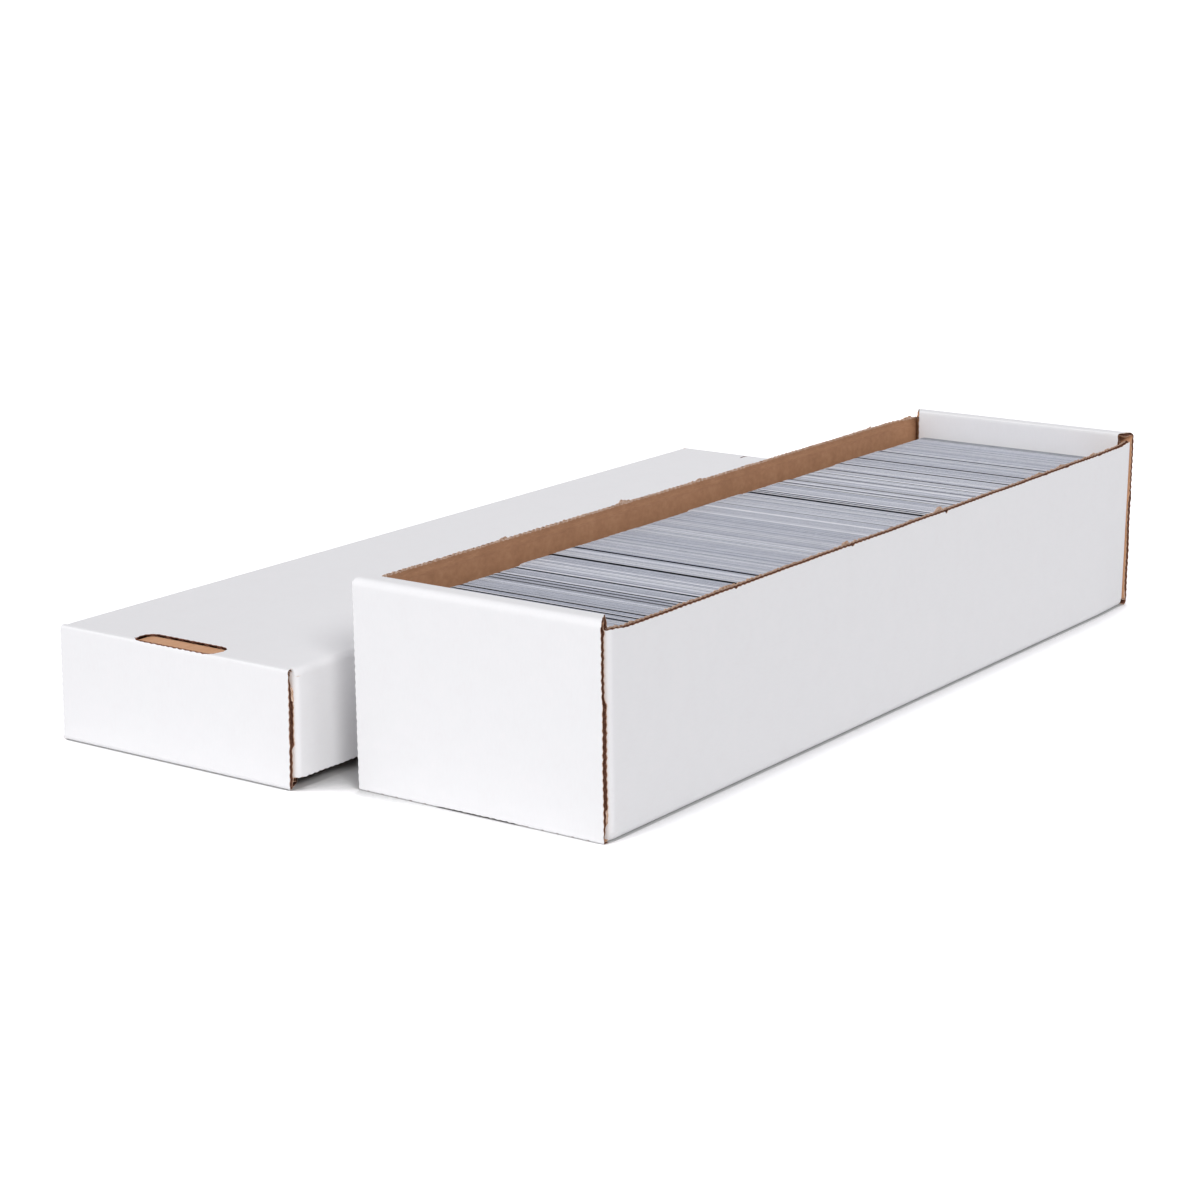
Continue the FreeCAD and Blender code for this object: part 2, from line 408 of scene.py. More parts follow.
def folded_board(
        width, line, plane, along, cut, place, few, spacing=0.72 * MM, centre=0.0, taper=None, knives=()):
    """A strip of board folded along a line that lies in a plane of two axes, such as "yz". Along is
    True where the line runs along the flutes. Cut says which sides the knife cut: low, high, start, end.
    Place is the strip's place on the blank. Its points stand close, at the spacing, along its cut edges
    or round its folds, and few lie the other way. Taper lists distances along the line, the strip's
    width there and how far it is shifted. Knives cut the sheet while it is still flat: the outline of
    each, its bottom and its top."""
    across_span, along_span = (width, line.length) if along else (line.length, width)
    close_along = along or cut[1]
    close = max(2, round((along_span if close_along else across_span) / spacing) + 1)
    points_across, points_along = (few, close) if close_along else (close, few)
    flute_rows = len(line.stations) if along else max(2, round(along_span / flute_row_gap))
    mesh = shape_from_nodes(sheet_tree, {
        "Width": across_span, "Length": along_span, "Thickness": board_thickness, "Paper": liner_paper,
        "Flute pitch": flute_pitch, "Flute drift": 0.006, "Tooth pitch": 2.9 * MM, "Tooth depth": 0.33 * MM,
        "Cut low side": cut[0], "Cut high side": cut[1], "Cut start": cut[2], "Cut end": cut[3],
        "Points across": points_across, "Points along": points_along,
        "Flute points": max(4, round(across_span / flute_pitch * points_to_flute)), "Flute rows": flute_rows,
        "Blank place": place})
    if along:
        points = coordinates(mesh)
        last = len(line.stations) - 1
        row = np.round((points[:, 1] / line.length + 0.5) * last)
        at_station = np.interp(row, np.arange(last + 1), line.stations) - line.length / 2
        points[:, 1] = np.where(in_medium(points), at_station, points[:, 1])
        mesh.vertices.foreach_set("co", points.ravel())
    for outline, bottom, top in knives:
        mesh = cut_out(mesh, outline, bottom, top)
    flat_points = coordinates(mesh)
    across, lengthwise, depth = flat_points[:, 0], flat_points[:, 1], -flat_points[:, 2]
    if along:
        distance = lengthwise + line.length / 2
        straight = across.copy()
        if taper is not None:
            at, widths, shifts = np.array(taper).T
            straight = straight * np.interp(distance, at, widths) / width + np.interp(distance, at, shifts)
    else:
        distance = across + line.length / 2
        straight = -lengthwise
    first, second = line.place(distance, depth)
    folded = np.zeros_like(flat_points)
    axes = ["xyz".index(letter) for letter in plane]
    folded[:, axes[0]] = first
    folded[:, axes[1]] = second
    folded[:, 3 - sum(axes)] = straight + centre
    mesh.vertices.foreach_set("co", folded.ravel())
    return mesh


base_low, base_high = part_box("tray_bottom_panel")
board_thickness = base_high.z - base_low.z
foot = board_thickness + 0.3 * MM
tray_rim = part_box("tray_front_rim_strip")
lid_low, lid_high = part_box("lid_top_panel")
tab_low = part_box("tray_front_inner_end")[0].z
rim_depth = tray_rim[1].y - tray_rim[0].y

# Both shells are made open side up round their own centre. The lid is then turned over.
# A filled tray's left wall bows out, and end panels lean in a little towards their feet.
shells = {
    "tray": {
        "body": "tray", "face": "bottom", "centre": Vector((0, 0, 0)), "turned": False,
        "width": base_high.x - base_low.x, "length": base_high.y - base_low.y, "height": tray_rim[1].z,
        "wall_top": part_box("tray_right_wall")[1].z, "flap_top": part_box("tray_front_right_flap")[1].z,
        "bow": 2.9 * MM, "dip": 1.2 * MM, "tuck": 0.9 * MM,
        "front_lean": 1.4 * MM, "rear_lean": 0.8 * MM, "tab_lean": 0.0,
        "end_radius": 0.5 * MM, "rim_radius": 3.0 * MM, "slot_near": -0.4 * MM, "bared": 0.0},
    "lid": {
        "body": "lid", "face": "top", "turned": True,
        "centre": Vector(((lid_low.x + lid_high.x) / 2, (lid_low.y + lid_high.y) / 2, 0)),
        "width": lid_high.x - lid_low.x, "length": lid_high.y - lid_low.y, "height": lid_high.z,
        "wall_top": lid_high.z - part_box("lid_right_wall")[0].z,
        "flap_top": lid_high.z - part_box("lid_front_right_flap")[0].z,
        "bow": 0.0, "dip": 0.0, "tuck": 0.0,
        "front_lean": 0.8 * MM, "rear_lean": 0.4 * MM, "tab_lean": 2.4 * MM,
        "end_radius": 1.1 * MM, "rim_radius": 1.4 * MM, "slot_near": 0.9 * MM, "bared": 0.75 * MM},
}


def smooth(share):
    """An even ease from 0 to 1."""
    share = np.clip(share, 0, 1)
    return share * share * (3 - 2 * share)


# How far from a shell's ends its walls' bow and dip start and its tuck reaches, and over what length
# each fades. The front panel's lean fades over its whole reach.
bow_gap, bow_fade = 4 * MM, 22 * MM
dip_gap, dip_fade = 5 * MM, 10 * MM
tuck_reach, tuck_fade = 30 * MM, 25 * MM
lean_reach = 40 * MM
# The walls' bends leave this share of the broad panel alone.
still_share = 0.6


def settle(mesh, shell, side_x=1, side_y=1, tucks=True):
    """Puts a mesh, made for the front right of a shell, at its own corner, with the shell's bow, dip
    and lean, and turns the lid's over. Tucks is False for end panels, which stay wide at the corner
    where the wall is tucked in. The faces still point outwards."""
    points = coordinates(mesh)
    x, y, z = points[:, 0] * side_x, points[:, 1] * side_y, points[:, 2]
    rise = z / shell["height"]
    half_length = shell["length"] / 2
    held = smooth((half_length - bow_gap - np.abs(y)) / bow_fade)
    near_wall = smooth((np.abs(x) / (shell["width"] / 2) - still_share) / (1 - still_share))
    x = x - np.where(x < 0, shell["bow"], 0) * rise * held * near_wall
    tucked = np.where((x > 0) & (y > 0), shell["tuck"] if tucks else 0, 0)
    x = x - tucked * (1 - rise) * smooth((y - half_length + tuck_reach) / tuck_fade) * near_wall
    dipped = smooth((half_length - dip_gap - np.abs(y)) / dip_fade)
    z = z - np.where(x > 0, shell["dip"] if tucks else 0, 0) * rise ** 3 * near_wall * dipped
    front_fade = smooth((-y - half_length + lean_reach) / lean_reach)
    rear_fade = smooth((y - half_length + rim_depth) / rim_depth)
    y = y + shell["front_lean"] * (1 - rise) * front_fade - shell["rear_lean"] * (1 - rise) * rear_fade
    if shell["turned"]:
        z = shell["height"] - z
    centre = shell["centre"]
    mesh.vertices.foreach_set("co", np.stack([x + centre.x, y + centre.y, z + centre.z], 1).ravel())
    if side_x * side_y * (-1 if shell["turned"] else 1) < 0:
        mesh.flip_normals()
    return mesh


def one_piece(name, meshes):
    """An object at the origin, made of these meshes, smooth with crisp cut edges."""
    merged = bmesh.new()
    for mesh in meshes:
        merged.from_mesh(mesh)
    whole = bpy.data.meshes.new(name)
    merged.to_mesh(whole)
    merged.free()
    for material in meshes[0].materials:
        whole.materials.append(material)
    if "layer" in whole.attributes:
        whole.attributes.remove(whole.attributes["layer"])
    whole.polygons.foreach_set("use_smooth", [True] * len(whole.polygons))
    whole.set_sharp_from_angle(angle=math.radians(32))
    return in_scene(name, whole)


slot_half = 20.4 * MM
slot_depth = rim_depth + 2.6 * MM
slot_corner = 5.0 * MM
near_corner = 4.4 * MM
slot_tooth = 2.8 * MM


def slot_outline(shell, wider=0.0):
    """Outline of the toothed knife that cuts the slot at a shell's front end, or of a wider one."""
    near = -shell["length"] / 2 + shell["slot_near"]
    inner = -shell["length"] / 2 + slot_depth
    outline = []
    for cx, cy, radius, first in (
            (-slot_half + near_corner, near + near_corner, near_corner, 270),
            (-slot_half + slot_corner, inner - slot_corner, slot_corner, 180),
            (slot_half - slot_corner, inner - slot_corner, slot_corner, 90),
            (slot_half - near_corner, near + near_corner, near_corner, 0)):
        for step in range(7):
            angle = math.radians(first - 15 * step)
            outline.append((cx + radius * math.cos(angle), cy + radius * math.sin(angle)))
    ring = np.array(outline + outline[:1])
    run = np.concatenate([[0], np.cumsum(np.hypot(*np.diff(ring, axis=0).T))])
    stops = np.linspace(0, run[-1], round(run[-1] / (0.7 * MM)), endpoint=False)
    fine_ring = np.stack([np.interp(stops, run, ring[:, i]) for i in (0, 1)], 1)
    ahead = np.roll(fine_ring, -1, 0) - np.roll(fine_ring, 1, 0)
    inward = np.stack([ahead[:, 1], -ahead[:, 0]], 1) / np.hypot(*ahead.T)[:, None]
    tooth = np.abs((stops / slot_tooth) % 1 - 0.5) * 2
    rng = np.random.default_rng(11)
    fine_ring += inward * ((tooth * 0.30 + rng.uniform(-0.10, 0.10, len(stops))) * MM - wider)[:, None]
    return fine_ring


side_crease = (crease_radius, 0.6, 2.8 * MM)
# How much of its way to the middle a corner is drawn in. Short of all of it, the board's end stays open.
corner_share = 0.97
for name, shell in shells.items():
    half_width, half_length = shell["width"] / 2, shell["length"] / 2
    line = FoldLine((-half_width, foot), -90, 1, [
        foot - crease_radius, side_crease, shell["width"] - 2 * crease_radius, side_crease,
        foot - crease_radius])
    half_trough = half_length - crease_radius
    trough = folded_board(
        2 * half_trough, line, "xz", False, (0, 0, 0, 0), (0.3, 0.1, 0), few=40, spacing=0.8 * MM)
    points = coordinates(trough)
    # The rows of points crowd towards the ends, where the corners are rounded.
    share = points[:, 1] / half_trough
    points[:, 1] = half_trough * share * (1.5 - 0.5 * share ** 2)
    beyond = np.clip(np.abs(points[:, 1]) - (half_length - board_thickness - crease_radius), 0, crease_radius)
    side = np.abs(points[:, 0]) - (half_width - crease_radius)
    drawn_in = np.where(side > 0, corner_share * side * (1 - np.sqrt(1 - (beyond / crease_radius) ** 2)), 0)
    points[:, 0] -= np.sign(points[:, 0]) * drawn_in
    trough.vertices.foreach_set("co", points.ravel())
    for side_y in (1, -1):
        trough = cut_out(trough, slot_outline(shell) * (1, side_y), -1 * MM, board_thickness + 1 * MM)
    panel = one_piece(f"{name}_{shell['face']}_board", [settle(trough, shell)])
    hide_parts(f"{name}_{shell['face']}_panel")
    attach(panel, shell["body"])


# ----------------------------------------------------------------------
# Long walls: one on each side of tray and lid, folded up from the broad panel's side creases.
# The same board; its flutes run the wall's whole length, and its free edge is die-cut, with a few
# small tufts where the nicks that held the blank in its sheet tore.

# Each tuft's place along its wall, its height and its reach, in millimetres.
tufts = {
    ("tray", 1): [(-126.4, 0.9, 3.6), (-44, 1.2, 2.0), (28.1, 2.3, 2.6), (113, 0.7, 4.0), (135, 0.9, 2.0),
                  (165.4, 1.0, 3.0)],
    ("tray", -1): [(-112.8, 1.1, 2.4), (-33.9, 1.3, 3.4), (21.7, 0.8, 2.0), (160, 0.7, 2.0), (192, 1.2, 2.2)],
    ("lid", 1): [(-90, 0.6, 2.0), (70, 0.8, 2.4)],
    ("lid", -1): [(-60, 0.7, 2.4), (110, 0.6, 2.0)],
}
# A wall's liners have rows of points from its foot, row 0, to its cut edge. The edge is pressed thinner,
# and its kraft liner stands up past the white one in a lip of shreds, in millimetres too.
edge_row = 8
press_height = 4 * MM
press_share = 0.3
lip, shred = 0.42, 0.6
shred_count = 420
skin = 0.01 * MM
for name, shell in shells.items():
    for side, label in ((1, "right"), (-1, "left")):
        wall_top = shell["wall_top"]
        line = FoldLine((shell["width"] / 2, foot), 90, 1, [wall_top - foot])
        span = shell["length"] - 4 * board_thickness
        wall = folded_board(
            span, line, "xz", False, (0, 1, 0, 0), (0.07 * side, 0.21 + 0.4 * side, 0), few=edge_row + 1)
        points = coordinates(wall)
        depth = shell["width"] / 2 - points[:, 0]
        on_kraft = depth > board_thickness - liner_paper - skin
        on_liner = on_kraft | (depth < liner_paper + skin)
        row = np.where(on_liner, np.round((points[:, 2] - foot) / line.length * edge_row), 0)
        at_edge = row == edge_row
        by_place = points[at_edge][np.argsort(points[at_edge, 1])]
        cut_edge = np.interp(points[:, 1], by_place[:, 1], by_place[:, 2])
        points[:, 2] = np.where(row == edge_row - 2, wall_top - press_height, points[:, 2])
        points[:, 2] = np.where(
            row == edge_row - 1, np.where(on_kraft, cut_edge - 0.05 * MM, wall_top - 2 * MM), points[:, 2])
        pressed = np.clip((points[:, 2] - wall_top) / press_height + 1, 0, 1)
        points[:, 0] += depth * press_share * pressed
        rng = np.random.default_rng(5 + side)
        shreds = np.interp(
            points[:, 1], np.linspace(-span / 2, span / 2, shred_count), rng.uniform(0, 1, shred_count) ** 3)
        points[:, 2] += at_edge * on_kraft * (lip + shred * shreds) * MM
        for position, height, reach in tufts[name, side]:
            near = np.clip(1.4 - np.abs(points[:, 1] - position * MM) / (reach * MM), 0, 1)
            near *= 0.75 + 0.25 * shreds
            beside = np.clip(1 - np.abs(points[:, 1] - (position + 1.2 * reach) * MM) / (1.5 * MM), 0, 1)
            points[:, 2] += at_edge * np.where(on_kraft, near, -0.5 * beside) * height * MM
        wall.vertices.foreach_set("co", points.ravel())
        corners = np.zeros(len(wall.loops), int)
        first_corner, paper = np.zeros((2, len(wall.polygons)), int)
        wall.loops.foreach_get("vertex_index", corners)
        wall.polygons.foreach_get("loop_start", first_corner)
        wall.polygons.foreach_get("material_index", paper)
        frayed = np.minimum.reduceat((on_kraft & (row >= edge_row - 1))[corners], first_corner)
        cut_paper = wall.materials.find("liner_cut_edge")
        wall.polygons.foreach_set("material_index", np.where(frayed, cut_paper, paper))
        piece = one_piece(f"{name}_{label}_wall_board", [settle(wall, shell, side_x=side)])
        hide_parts(f"{name}_{label}_wall")
        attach(piece, shell["body"])


# ----------------------------------------------------------------------
# Corner flaps: four in each shell, turned in from the ends of the long walls and held between the
# outer and the inner end panel. The same board, with its white face towards the outer end panel.

for name, shell in shells.items():
    for side_y, end in ((1, "front"), (-1, "rear")):
        for side_x, label in ((1, "right"), (-1, "left")):
            half_width = shell["width"] / 2
            box_low, box_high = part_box(f"{name}_{end}_{label}_flap")
            flap_front = -shell["length"] / 2 + board_thickness
            start = -shell["length"] / 2 + 2 * board_thickness
            line = FoldLine((half_width, start), -90, -1, [
                start - flap_front - crease_radius, (crease_radius, 0.7, 2.8 * MM),
                box_high.x - box_low.x - crease_radius])
            tall = shell["flap_top"] - foot
            flap = folded_board(tall, line, "xy", True, (0, 1, 0, 1), (0.5, 0.3 * side_x, 0), few=60,
                                centre=foot + tall / 2)
            points = coordinates(flap)
            by_wall = 1 - smooth((half_width - points[:, 0] - board_thickness) / (1.5 * MM))
            share_up = (points[:, 2] - foot) / tall
            points[:, 2] += by_wall * share_up ** 8 * (shell["wall_top"] - shell["flap_top"])
            flap.vertices.foreach_set("co", points.ravel())
            piece = one_piece(f"{name}_{end}_{label}_flap_board", [settle(flap, shell, side_x, side_y)])
            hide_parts(f"{name}_{end}_{label}_flap")
            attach(piece, shell["body"])


# ----------------------------------------------------------------------
# Rolled ends: the outer panel stands up from the end crease, rolls over the flaps and comes down
# inside as the inner panel, whose tab stands in the slot. One strip of the same board with its
# flutes upright, cut at both sides; its creases are scored, so the board is thinner there.

# A nick this far up the outer panel's right edge. From there to the rim the edge is crushed.
nick_share = 0.62
nick_reach, nick_depth = 1.1 * MM, 0.5 * MM
crush_share = 0.38
for name, shell in shells.items():
    for side_y, end in ((1, "front"), (-1, "rear")):
        front = -shell["length"] / 2
        top = shell["height"]
        end_crease = (shell["end_radius"], 0.2, 5.0 * MM) if end == "front" else (crease_radius, 0.8, 2.8 * MM)
        rim_radius = shell["rim_radius"]
        upright = top - end_crease[0] - rim_radius
        strip = rim_depth - rim_radius - inner_radius
        inner_foot = board_thickness + 0.06 * MM
        line = FoldLine((front + crease_radius + 0.01 * MM, 0), 180, -1, [
            crease_radius - end_crease[0] + 0.01 * MM, end_crease, upright, (rim_radius, 0.35, 3.0 * MM), strip,
            (inner_radius, 0.25, 3.2 * MM), top - inner_radius - inner_foot])
        outer_low, outer_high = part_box(f"{name}_{end}_outer_end")
        inner_low, inner_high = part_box(f"{name}_{end}_inner_end")
        outer_width = outer_high.x - outer_low.x
        inner_width = inner_high.x - inner_low.x
        rim_start = line.creases[1][0]
        rim_end = line.creases[2][0]
        if (name, end) == ("tray", "rear"):
            outer_width += 1.2 * MM
            inner_taper = [(at, inner_width - 2.4 * MM, 0.9 * MM) for at in (rim_end, line.length)]
        else:
            inner_taper = [(rim_end, inner_width - 1.9 * MM, -0.65 * MM)] + [
                (at, inner_width - 0.9 * MM, -0.15 * MM) for at in (rim_end + 5.5 * MM, line.length)]
        onto_sheet = (0, front + crease_radius - line.length / 2)
        knives = [(slot_outline(shell) * (1, -1) + onto_sheet, -board_thickness - 1 * MM, 1 * MM)]
        if shell["bared"]:
            bared_ring = slot_outline(shell, shell["bared"]) * (1, -1) + onto_sheet
            knives.append((bared_ring, -0.8 * liner_paper, 1 * MM))
        rolled = folded_board(
            outer_width, line, "yz", True, (1, 1, 0, 1), (0.9, 0.4 * side_y, 0), few=12,
            taper=[(0, outer_width, 0), (rim_start, outer_width, 0), *inner_taper], knives=knives)
        tab_line = FoldLine((front + rim_depth, inner_foot), -90, -1, [inner_foot - tab_low])
        if name == "lid":
            tab_drop = 1.0 * MM if end == "front" else 0.1 * MM
            tab_line = FoldLine((front + rim_depth + 1.2 * MM, inner_foot + 0.5 * MM), -90, -1, [
                0.8 * MM, (inner_foot - 0.3 * MM - tab_drop, 0.5, 2.4 * MM), 6.2 * MM])
        tab = folded_board(2 * slot_half - 0.7 * MM, tab_line, "yz", True, (1, 1, 0, 1), (0.9, 0.2 * side_y, 0),
                           few=57, spacing=0.7 * MM)
        meshes = []
        for part in (rolled, tab):
            paper = np.zeros(len(part.polygons), int)
            part.polygons.foreach_get("material_index", paper)
            # The tab's kraft faces, and on the lid's front tab its white faces, take the paler liner: painted
            # light.
            paper_painted_lit = white_top_liner if part is tab and (name, end) == ("lid", "front") else kraft_liner
            part.materials.append(painted_light_kraft_liner)
            part.polygons.foreach_set("material_index", np.where(
                paper == part.materials.find(paper_painted_lit.name), len(part.materials) - 1, paper))
            points = coordinates(part)
            inside = points[:, 1] > front + rim_depth - board_thickness - 0.4 * MM
            points[:, 1] += np.where(inside, shell["tab_lean"] * (1 - points[:, 2] / top), 0)
            if part is rolled:
                above = points[:, 2] - nick_share * top
                nicked = np.clip(1 - np.abs(above) / nick_reach, 0, 1)
                points[:, 0] += np.where(points[:, 0] > outer_width / 2 - 0.7 * MM, nick_depth * nicked, 0)
                depth = points[:, 1] - front
                in_flutes = (depth > liner_paper + skin) & (depth < board_thickness - liner_paper - skin)
                by_edge = np.clip((points[:, 0] / outer_width - 0.5) * 11 + 1, 0, 1)
                above_nick = np.where(in_flutes, 1, smooth(above / (2 * MM)))
                under_rim = smooth((top - rim_radius - 1 * MM - points[:, 2]) / (3 * MM))
                crushed = crush_share * by_edge * above_nick * under_rim * (depth < board_thickness + 0.1 * MM)
                points[:, 1] -= depth * crushed
            part.vertices.foreach_set("co", points.ravel())
            meshes.append(settle(part, shell, 1, side_y, tucks=False))
        piece = one_piece(f"{name}_{end}_rolled_end", meshes)
        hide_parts(*(f"{name}_{end}_{part}" for part in ("outer_end", "rim_strip", "inner_end")))
        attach(piece, shell["body"])


# ----------------------------------------------------------------------
# Card packs: ten rows of trading cards that stand on their long edges, about a hundred to a pack.
# Coated card stock, 63.5 x 88.9 mm with round corners, blank fronts and a plain bordered back.
# Nothing holds them: they stand a little turned and shifted sideways, some a little apart.

card_long, card_short = 88.9 * MM, 63.5 * MM
card_border = 3.5 * MM

# Cut edge of coated white card: cool grey-white, each card a little paler or darker than the next.
card_edge, tree = new_material("card_stock_edge")
edge_tint = add_node(tree, "ShaderNodeAttribute", attribute_name="tint")
place = add_node(tree, "ShaderNodeTexCoord")
dust = add_node(tree, noise, {"Vector": place.outputs["Object"], "Scale": 1 / (6 * MM), "Detail": 3.0})
shift = add_node(tree, maths, {0: dust, 1: 0.20, 2: -0.10}, "MULTIPLY_ADD")
toned = add_node(tree, maths, {0: edge_tint.outputs["Fac"], 1: shift}, "ADD")
# The darkest stops serve the dark lots: partly dark-edged cards, partly painted shade between cards.
edge_tone = add_node(tree, "ShaderNodeValToRGB", {0: toned}, stops=[
    (0.0, "#0A0B0E"), (0.14, "#343842"), (0.33, "#9095A2"), (0.52, "#AAAEBB"), (0.70, "#BEC2CD"),
    (0.86, "#DCDEE6"), (1.0, "#F8F8FA")])
surface = add_node(tree, "ShaderNodeBsdfPrincipled", {
    "Base Color": edge_tone, "Roughness": 0.8, "Specular IOR Level": 0.04})
add_node(tree, "ShaderNodeOutputMaterial", {0: surface})

# Aqueous-coated card face: smooth and slightly glossy, with a white border round a plain field. Now and
# then a lot of cards has a black border, and then its edges are dark too. These dark lots are partly real
# dark-edged cards and partly painted shade for the gaps between cards.
card_face, tree = new_material("coated_card_face")
where = add_node(tree, "ShaderNodeUVMap", uv_map="blank")
across = add_node(tree, "ShaderNodeVectorMath", {0: where}, "ABSOLUTE")
sides = add_node(tree, "ShaderNodeSeparateXYZ", {0: across})
from_side = add_node(tree, maths, {0: sides.outputs[0], 1: card_long / 2 - card_border}, "SUBTRACT")
from_top = add_node(tree, maths, {0: sides.outputs[1], 1: card_short / 2 - card_border}, "SUBTRACT")
nearest = add_node(tree, maths, {0: from_side, 1: from_top}, "MAXIMUM")
border = add_node(tree, "ShaderNodeMapRange", {0: nearest, 1: -0.15 * MM, 2: 0.15 * MM})
print_grain = add_node(tree, noise, {"Vector": where, "Scale": 1 / (1.2 * MM), "Detail": 2.0})
field = add_node(tree, "ShaderNodeValToRGB", {0: print_grain}, stops=[(0.35, "#8E9BB0"), (0.65, "#98A5B9")])
face_tint = add_node(tree, "ShaderNodeAttribute", attribute_name="tint")
pale_border = add_node(tree, "ShaderNodeMapRange", {0: face_tint.outputs["Fac"], 1: 0.12, 2: 0.34})
border_tone = add_node(tree, "ShaderNodeMix", {
    "Factor": pale_border, 6: srgb("#15171C"), 7: srgb("#EDEEF2")}, data_type="RGBA")
face_tone = add_node(tree, "ShaderNodeMix", {
    "Factor": border, 6: field, 7: border_tone.outputs[2]}, data_type="RGBA")
surface = add_node(tree, "ShaderNodeBsdfPrincipled", {
    "Base Color": face_tone.outputs[2], "Roughness": 0.32, "Specular IOR Level": 0.5, "Coat Weight": 0.15})
add_node(tree, "ShaderNodeOutputMaterial", {0: surface})

pack_tree, given = new_shape_tree("row_of_cards", {
    "Int": ("Cards", "Seed"), "Vector": ("Place",),
    "Float": ("Row length", "Card width", "Card height", "Stock", "Corner", "Sideways", "Short", "Turn",
              "Lot contrast", "Run", "Dark share", "Pale share", "Painted shade cards")}, "Pack")
tree = pack_tree
oblong = add_node(tree, "GeometryNodeCurvePrimitiveQuadrilateral", {
    0: given["Card width"], 1: given["Card height"]})
rounded = add_node(tree, "GeometryNodeFilletCurve", {0: oblong, "Radius": given["Corner"]}, mode="POLY")
rounded.inputs["Count"].default_value = 3
front_face = add_node(tree, "GeometryNodeFillCurve", {0: rounded}, mode="NGONS")
printed = add_node(tree, stored, {0: front_face, "Name": "layer", "Value": 0.0}, domain="FACE")
turned_face = add_node(tree, "GeometryNodeFlipFaces", {0: printed})
stock = add_node(tree, "GeometryNodeExtrudeMesh", {
    0: turned_face, "Offset": (0.0, 0.0, -1.0), "Offset Scale": given["Stock"], "Individual": False})
edged = add_node(tree, stored, {
    0: stock, "Selection": stock.outputs["Side"], "Name": "layer", "Value": 1.0}, domain="FACE")
card = add_node(tree, "GeometryNodeJoinGeometry", {0: [printed, edged]})
solid = add_node(tree, "GeometryNodeMergeByDistance", {0: card, "Distance": 1e-6})
on_card = add_node(tree, "GeometryNodeInputPosition")
with_uv = add_node(tree, stored, {
    0: solid, "Name": "blank", "Value": on_card}, data_type="FLOAT2", domain="CORNER")
half_high = add_node(tree, maths, {0: given["Card height"], 1: 0.5}, "MULTIPLY")
raised = add_node(tree, "ShaderNodeCombineXYZ", {2: half_high})
standing = add_node(tree, "GeometryNodeTransform", {
    0: with_uv, "Translation": raised, "Rotation": (math.pi / 2, 0, 0)})
dots = add_node(tree, "GeometryNodePoints", {0: given["Cards"]})
number = add_node(tree, "GeometryNodeInputIndex")


def chance(seed_shift, least, most):
    """A random number for each card."""
    seed = add_node(pack_tree, maths, {0: given["Seed"], 1: float(seed_shift)}, "ADD")
    drawn = add_node(pack_tree, "FunctionNodeRandomValue", {2: least, 3: most, "ID": number, "Seed": seed})
    return drawn.outputs[1]


seed_step = add_node(tree, maths, {0: given["Seed"], 1: 17.3}, "MULTIPLY")


def drift(step, detail):
    """A number about nought for each card, which changes by small steps along the row."""
    along_row = add_node(pack_tree, maths, {0: number, 1: step, 2: seed_step}, "MULTIPLY_ADD")
    swing = add_node(pack_tree, noise, {"W": along_row, "Scale": 1.0, "Detail": detail}, noise_dimensions="1D")
    return add_node(pack_tree, maths, {0: swing, 1: 0.5}, "SUBTRACT")


wide = add_node(tree, maths, {0: chance(1, 0.0, 1.0), 1: 12.0}, "POWER")
summed = add_node(tree, "GeometryNodeAccumulateField", {0: wide})
solid_row = add_node(tree, maths, {0: given["Cards"], 1: given["Stock"]}, "MULTIPLY")
slack = add_node(tree, maths, {0: given["Row length"], 1: solid_row}, "SUBTRACT")
along = add_node(tree, maths, {0: summed.outputs["Trailing"], 1: summed.outputs["Total"]}, "DIVIDE")
opened = add_node(tree, maths, {0: along, 1: slack}, "MULTIPLY")
nth = add_node(tree, maths, {0: number, 1: 1.0}, "ADD")
reach_in = add_node(tree, maths, {0: nth, 1: given["Stock"], 2: opened}, "MULTIPLY_ADD")
slide = add_node(tree, maths, {0: chance(2, -1.0, 1.0), 1: given["Sideways"]}, "MULTIPLY")
spots = add_node(tree, "ShaderNodeCombineXYZ", {0: slide, 1: reach_in})
placed = add_node(tree, "ShaderNodeVectorMath", {0: spots, 1: given["Place"]}, "ADD")
row = add_node(tree, "GeometryNodeSetPosition", {0: dots, "Position": placed})
yaw = add_node(tree, maths, {0: drift(0.045, 1.0), 1: given["Turn"]}, "MULTIPLY")
turned = add_node(tree, "ShaderNodeCombineXYZ", {2: yaw})
shorter = add_node(tree, maths, {0: chance(3, 0.0, 1.0), 1: given["Short"]}, "MULTIPLY")
tall = add_node(tree, maths, {0: 1.0, 1: shorter}, "SUBTRACT")
size = add_node(tree, "ShaderNodeCombineXYZ", {0: 1.0, 1: 1.0, 2: tall})
cards = add_node(tree, "GeometryNodeInstanceOnPoints", {
    0: row, "Instance": standing, "Rotation": turned, "Scale": size})
lot_tone = add_node(tree, maths, {
    0: drift(0.21, 2.0), 1: given["Lot contrast"], 2: chance(4, 0.36, 0.52)}, "MULTIPLY_ADD")
bundled = add_node(tree, maths, {0: number, 1: given["Run"]}, "DIVIDE")
bundle = add_node(tree, maths, {0: bundled}, "FLOOR")
draw = add_node(tree, "FunctionNodeRandomValue", {
    2: 0.0, 3: 1.0, "ID": bundle, "Seed": given["Seed"]}).outputs[1]
is_dark = add_node(tree, maths, {0: draw, 1: given["Dark share"]}, "LESS_THAN")
most = add_node(tree, maths, {0: 1.0, 1: given["Pale share"]}, "SUBTRACT")
is_pale = add_node(tree, maths, {0: draw, 1: most}, "GREATER_THAN")
dark_tone = add_node(tree, maths, {0: is_dark, 1: chance(5, -0.55, -0.35), 2: lot_tone}, "MULTIPLY_ADD")
line_tone = add_node(tree, maths, {0: is_pale, 1: chance(6, 0.25, 0.55), 2: dark_tone}, "MULTIPLY_ADD")
